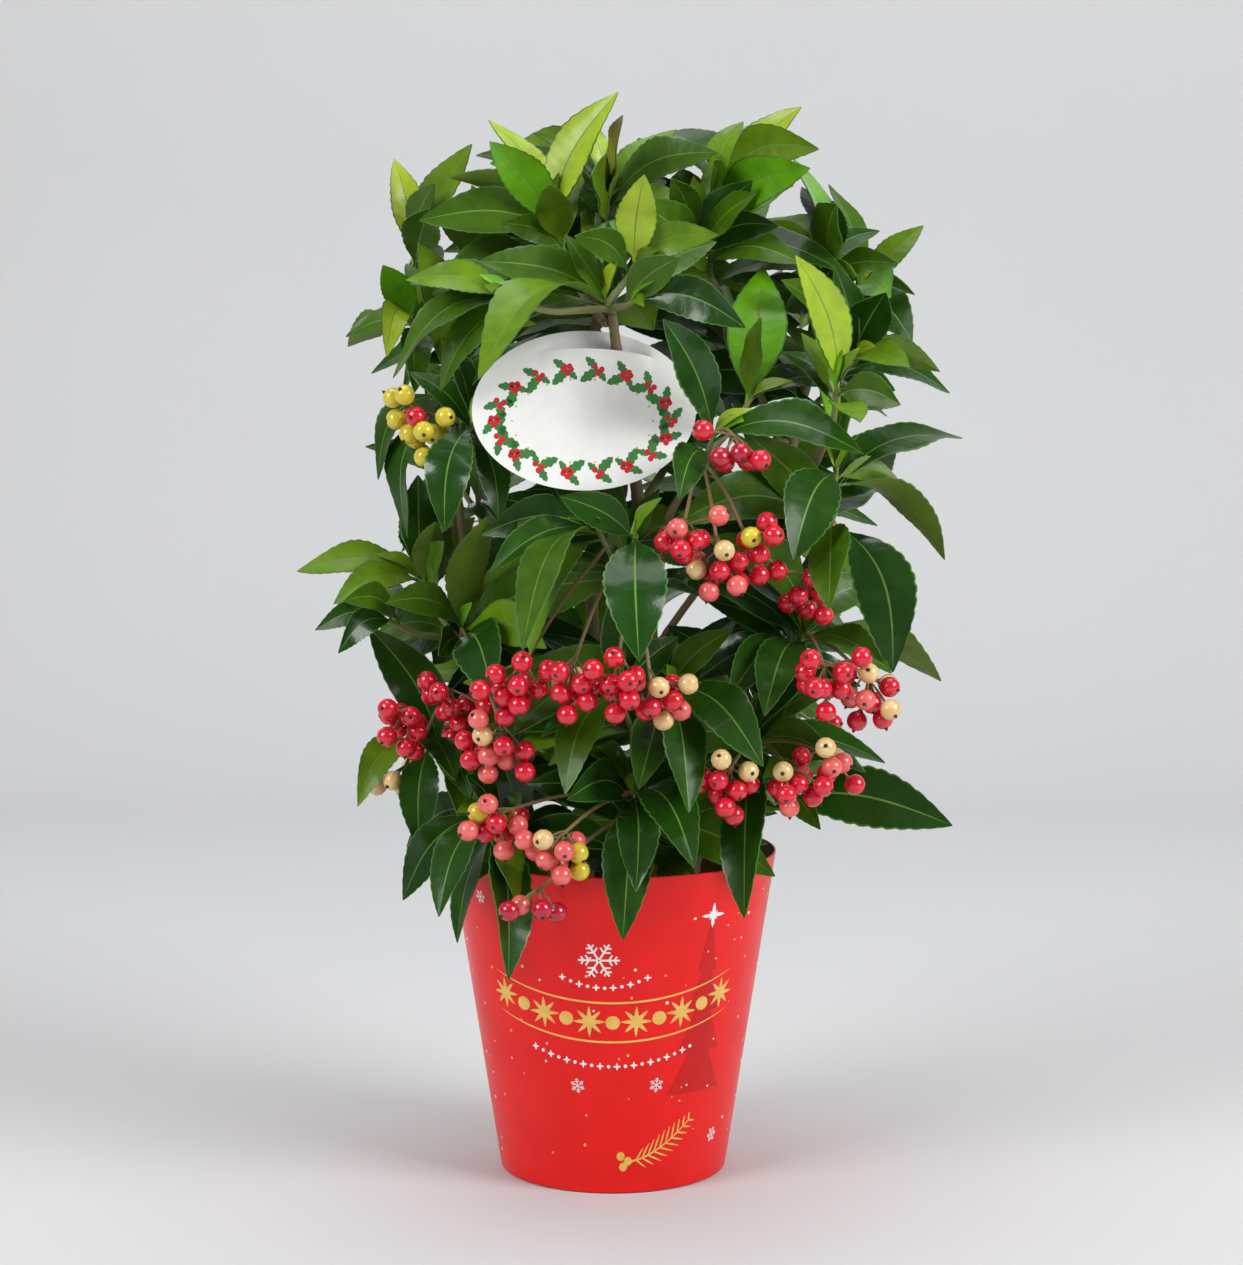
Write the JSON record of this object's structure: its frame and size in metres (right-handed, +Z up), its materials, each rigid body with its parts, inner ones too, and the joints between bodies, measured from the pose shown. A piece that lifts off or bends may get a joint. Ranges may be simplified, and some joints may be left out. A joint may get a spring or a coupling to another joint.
{
  "type": "potted coralberry",
  "caption": "Potted coralberry: an upright clump of woody stems with glossy toothed leaves and hanging clusters of round berries, in a tapered printed card pot cover with an oval tag",
  "frame": {"origin": "middle of the pot cover's flat underside, on the surface that it stands on", "axes": "+Z up along the pot's axis, -Y to the front where the tag hangs, +X to the right seen from the front"},
  "size_m": [0.269, 0.2361, 0.438],
  "materials": {
    "card": "satin printed card, plain dark brown board inside",
    "soil": "moist peat, rough and dark",
    "tag": "satin coated white card",
    "bark": "smooth olive-brown young bark with fine ridges",
    "foliage": "glossy leathery leaves with paler midribs, and glossy berries"
  },
  "bodies": {
    "root": {"pot_cover": "card", "soil": "soil", "tag": "tag", "stem_left": "bark", "stem_middle": "bark", "stem_right": "bark", "stem_back": "bark", "bough_crown_left": "bark", "bough_crown_inner": "bark", "bough_crown_right": "bark", "bough_crown_outer": "bark", "bough_right_front": "bark", "bough_front_right": "bark", "bough_left_upper": "bark", "bough_left_side": "bark", "bough_right_mid": "bark", "bough_right_low": "bark", "bough_right_base": "bark", "bough_back_left": "bark", "bough_back_right": "bark", "bough_back_mid_left": "bark", "bough_back_mid_right": "bark", "crown_left": "foliage", "crown_inner": "foliage", "fork": "foliage", "crown_top": "foliage", "crown_right": "foliage", "crown_outer": "foliage", "right_front": "foliage", "right_upper": "foliage", "front_right": "foliage", "left_upper": "foliage", "left_side": "foliage", "centre": "foliage", "low_centre": "foliage", "low_front": "foliage", "right_mid": "foliage", "right_low": "foliage", "right_base": "foliage", "low_left": "foliage", "low_left_side": "foliage", "back_top": "foliage", "back_upper_left": "foliage", "back_upper_right": "foliage", "back_mid_left": "foliage", "back_mid_centre": "foliage", "back_mid_right": "foliage", "back_low_left": "foliage", "back_low_centre": "foliage", "back_low_right": "foliage", "back_foot_left": "foliage", "back_foot_right": "foliage"}
  },
  "joints": []
}
